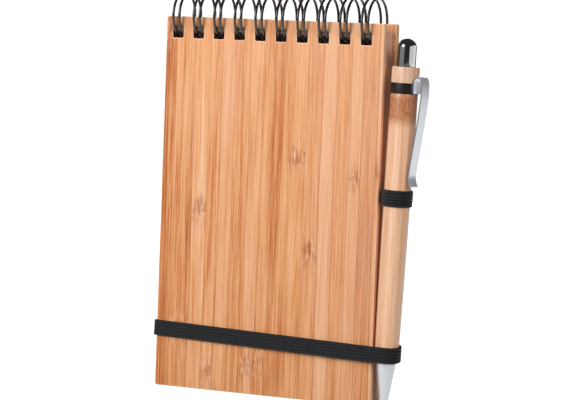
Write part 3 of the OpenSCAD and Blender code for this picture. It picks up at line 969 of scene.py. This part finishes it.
def push_button():
    """Glossy button with a domed end, and the plunger below it."""
    dome_h = 3.4 * MM
    waist_r = BUTTON_R - 0.1 * MM
    skirt = COLLAR_FOOT + 4.7 * MM
    plunger_r = 2.2 * MM
    dome = [(waist_r * math.cos(a), PEN_TOP - dome_h + dome_h * math.sin(a))
            for a in (math.pi / 2 * k / 20 for k in range(21))]
    body = rounded([(0, BUTTON_FOOT, 0), (plunger_r, BUTTON_FOOT, 0.2 * MM),
                    (plunger_r, skirt, 0.15 * MM), (BUTTON_R, skirt, 0.2 * MM),
                    (waist_r, PEN_TOP - dome_h, 0)], 4, closed=False)
    profile = [tuple(p) for p in body[:-1]] + dome[:-1] + [(0, PEN_TOP)]
    dress(lathe("button", profile), BLACK_GLOSS, "black_gloss", "button", "push_button")


def nose_cone():
    """Tapered metal tip with a rounded mouth, a stepped bore and the spigot inside the barrel."""
    foot_r, top_r = 1.5 * MM, BARREL_END_R - 0.05 * MM
    shoulder = BARREL_FOOT - 0.02 * MM
    spigot_r, spigot_top = BORE_R - 0.05 * MM, BARREL_FOOT + 7 * MM
    mouth_r, guide_r, chamber_r = 1.0 * MM, 1.35 * MM, 2.3 * MM
    guide_foot, chamber_foot = 4.5 * MM, 11 * MM
    corners = [
        (mouth_r, 0, 0.12 * MM), (foot_r, 0, 0.25 * MM), (top_r, BARREL_FOOT - 0.25 * MM, 0.3 * MM),
        (top_r - 0.1 * MM, shoulder, 0.05 * MM), (spigot_r, shoulder, 0),
        (spigot_r, spigot_top, 0.15 * MM), (chamber_r, spigot_top, 0), (chamber_r, chamber_foot, 0),
        (guide_r, chamber_foot, 0), (guide_r, guide_foot, 0), (mouth_r, guide_foot, 0)]
    dress(lathe("cone", rounded(corners, 4)), TURNED_STEEL, "satin_steel", "pen", "nose_cone")


def return_spring():
    """Compression spring, wound between the ends of the CAD spring."""
    low, high, outer = pen_span("return_spring")
    wire_r = 0.17 * MM
    turns, per_turn = 11, 24
    radius = outer - wire_r
    line = []
    for i in range(turns * per_turn + 1):
        angle = 2 * math.pi * i / per_turn
        height = low + wire_r + (high - low - 2 * wire_r) * i / (turns * per_turn)
        line.append(Vector((radius * math.cos(angle), radius * math.sin(angle), height)))
    spring = tube("spring_coil", line, wire_r, sides=2, matrix=PEN)
    dress(spring, SPRING_STEEL, "spring_steel", "pen", "return_spring")
    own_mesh(spring)


def inner_parts():
    """CAD pieces inside the pen that keep their shape and get a real surface."""
    for node, material in {
        "mechanism_tube": CLEAR_PLASTIC, "cam_rotor": WHITE_PLASTIC, "thread_bush": BRASS,
        "refill_tube": CLEAR_PLASTIC, "refill_tip": BRASS, "writing_ball": SPRING_STEEL,
        "ink_column": INK,
    }.items():
        mesh = frame["nodes"][node].data
        mesh.materials.clear()
        mesh.materials.append(material)


# ---------------------------------------------------------------- studio

def area_light(name, place, size, power):
    """A soft rectangle of light, turned to the pad's middle and unseen by the camera."""
    aim = Vector((0, RING_CENTRE.y, 70 * MM))
    data = bpy.data.lights.new(name, "AREA")
    data.shape = "RECTANGLE"
    data.size, data.size_y = size
    data.energy = power
    light = add_object(name, data)
    light.visible_camera = False
    turn = (aim - place).to_track_quat("-Z", "Y").to_matrix().to_4x4()
    light.matrix_world = Matrix.Translation(place) @ turn
    return light


def lay_floor():
    """Pale floor just under the pad, which throws no light up at it."""
    bm = bmesh.new()
    bmesh.ops.create_circle(bm, cap_ends=True, segments=96, radius=1.2)
    floor = object_from(bm, "floor")
    floor.location.z = BACK_LOW.z - 0.05 * MM
    look = Look("pale_floor", {"Roughness": 0.9, "Emission Color": (1, 1, 1, 1),
                               "Emission Strength": 1.0})
    grain = look.noise((0.02, 0.02, 0.02))
    look.colour(look.tones(grain, [(0.2, (136, 136, 135)), (0.8, (142, 142, 141))]))
    floor.data.materials.append(look.material)
    floor.visible_diffuse = False


def surround():
    """White world. The camera sees it bright and surfaces are lit by little of it. What mirrors
    it directly shows a pale wall on one side of a dark room."""
    to_camera, to_surfaces, wall, dark_side = 1.1, 0.17, 1.0, 0.06
    wall_direction = (-0.42, 0.91, 0)
    world = bpy.data.worlds.new("studio")
    world.use_nodes = True
    shades = NodeTree(world.node_tree)
    ray = shades.node("ShaderNodeLightPath").outputs
    direction = shades.node("ShaderNodeTexCoord").outputs["Generated"]
    toward_wall = shades.node("ShaderNodeVectorMath", {0: direction, 1: wall_direction},
                              operation="DOT_PRODUCT").outputs["Value"]
    mirrored = shades.range(toward_wall, -0.3, 0.2, dark_side, wall)
    first_bounce = shades.range(ray["Ray Depth"], 1.2, 1.8, 1.0, 0.0)
    direct_mirror = shades.times(ray["Is Glossy Ray"], first_bounce)
    lit = shades.range(direct_mirror, 0.0, 1.0, to_surfaces, mirrored)
    background = world.node_tree.nodes["Background"]
    background.inputs["Color"].default_value = (1, 1, 1, 1)
    shades.feed(background.inputs["Strength"],
                shades.range(ray["Is Camera Ray"], 0.0, 1.0, lit, to_camera))
    bpy.context.scene.world = world
    bpy.context.scene.view_settings.view_transform = "Standard"


def lights():
    """Key at the upper left, fill at the right, a panel behind, and two that show only as
    gleams on the glossy button."""
    area_light("key", Vector((-0.42, -0.8, 0.46)), (0.5, 0.5), 7.9)
    fill = area_light("side_fill", Vector((0.85, -0.5, 0.6)), (0.5, 0.5), 5.1)
    fill.visible_glossy = False
    area_light("rear_panel", Vector((-0.4, 0.95, 0.25)), (0.7, 0.9), 6)
    shown_on = bpy.data.collections.new("shown_on_button")
    shown_on.objects.link(bpy.data.objects["button"])
    for gleam in (area_light("right_panel", Vector((0.85, 0.12, 0.15)), (1.7, 0.5), 12),
                  area_light("left_panel", Vector((-0.6, -0.8, 0.12)), (1.2, 0.8), 4.2)):
        gleam.visible_diffuse = False
        gleam.light_linking.receiver_collection = shown_on


set_camera()
board("front_board", "front_cover", "front_cover", FRONT_WOOD)
board("back_board", "back_cover", "notepad", BACK_WOOD)
paper_stack("page_sheets", "page_block", "notepad", 68, 5)
paper_stack("turned_sheets", "turned_leaves", "turned_leaves", 8, 9)
wire_binding()
closure_band()
pen_loop()
staples()
pen_barrel()
pen_collar()
clip_ring()
pocket_clip()
push_button()
nose_cone()
return_spring()
inner_parts()
lay_floor()
surround()
lights()
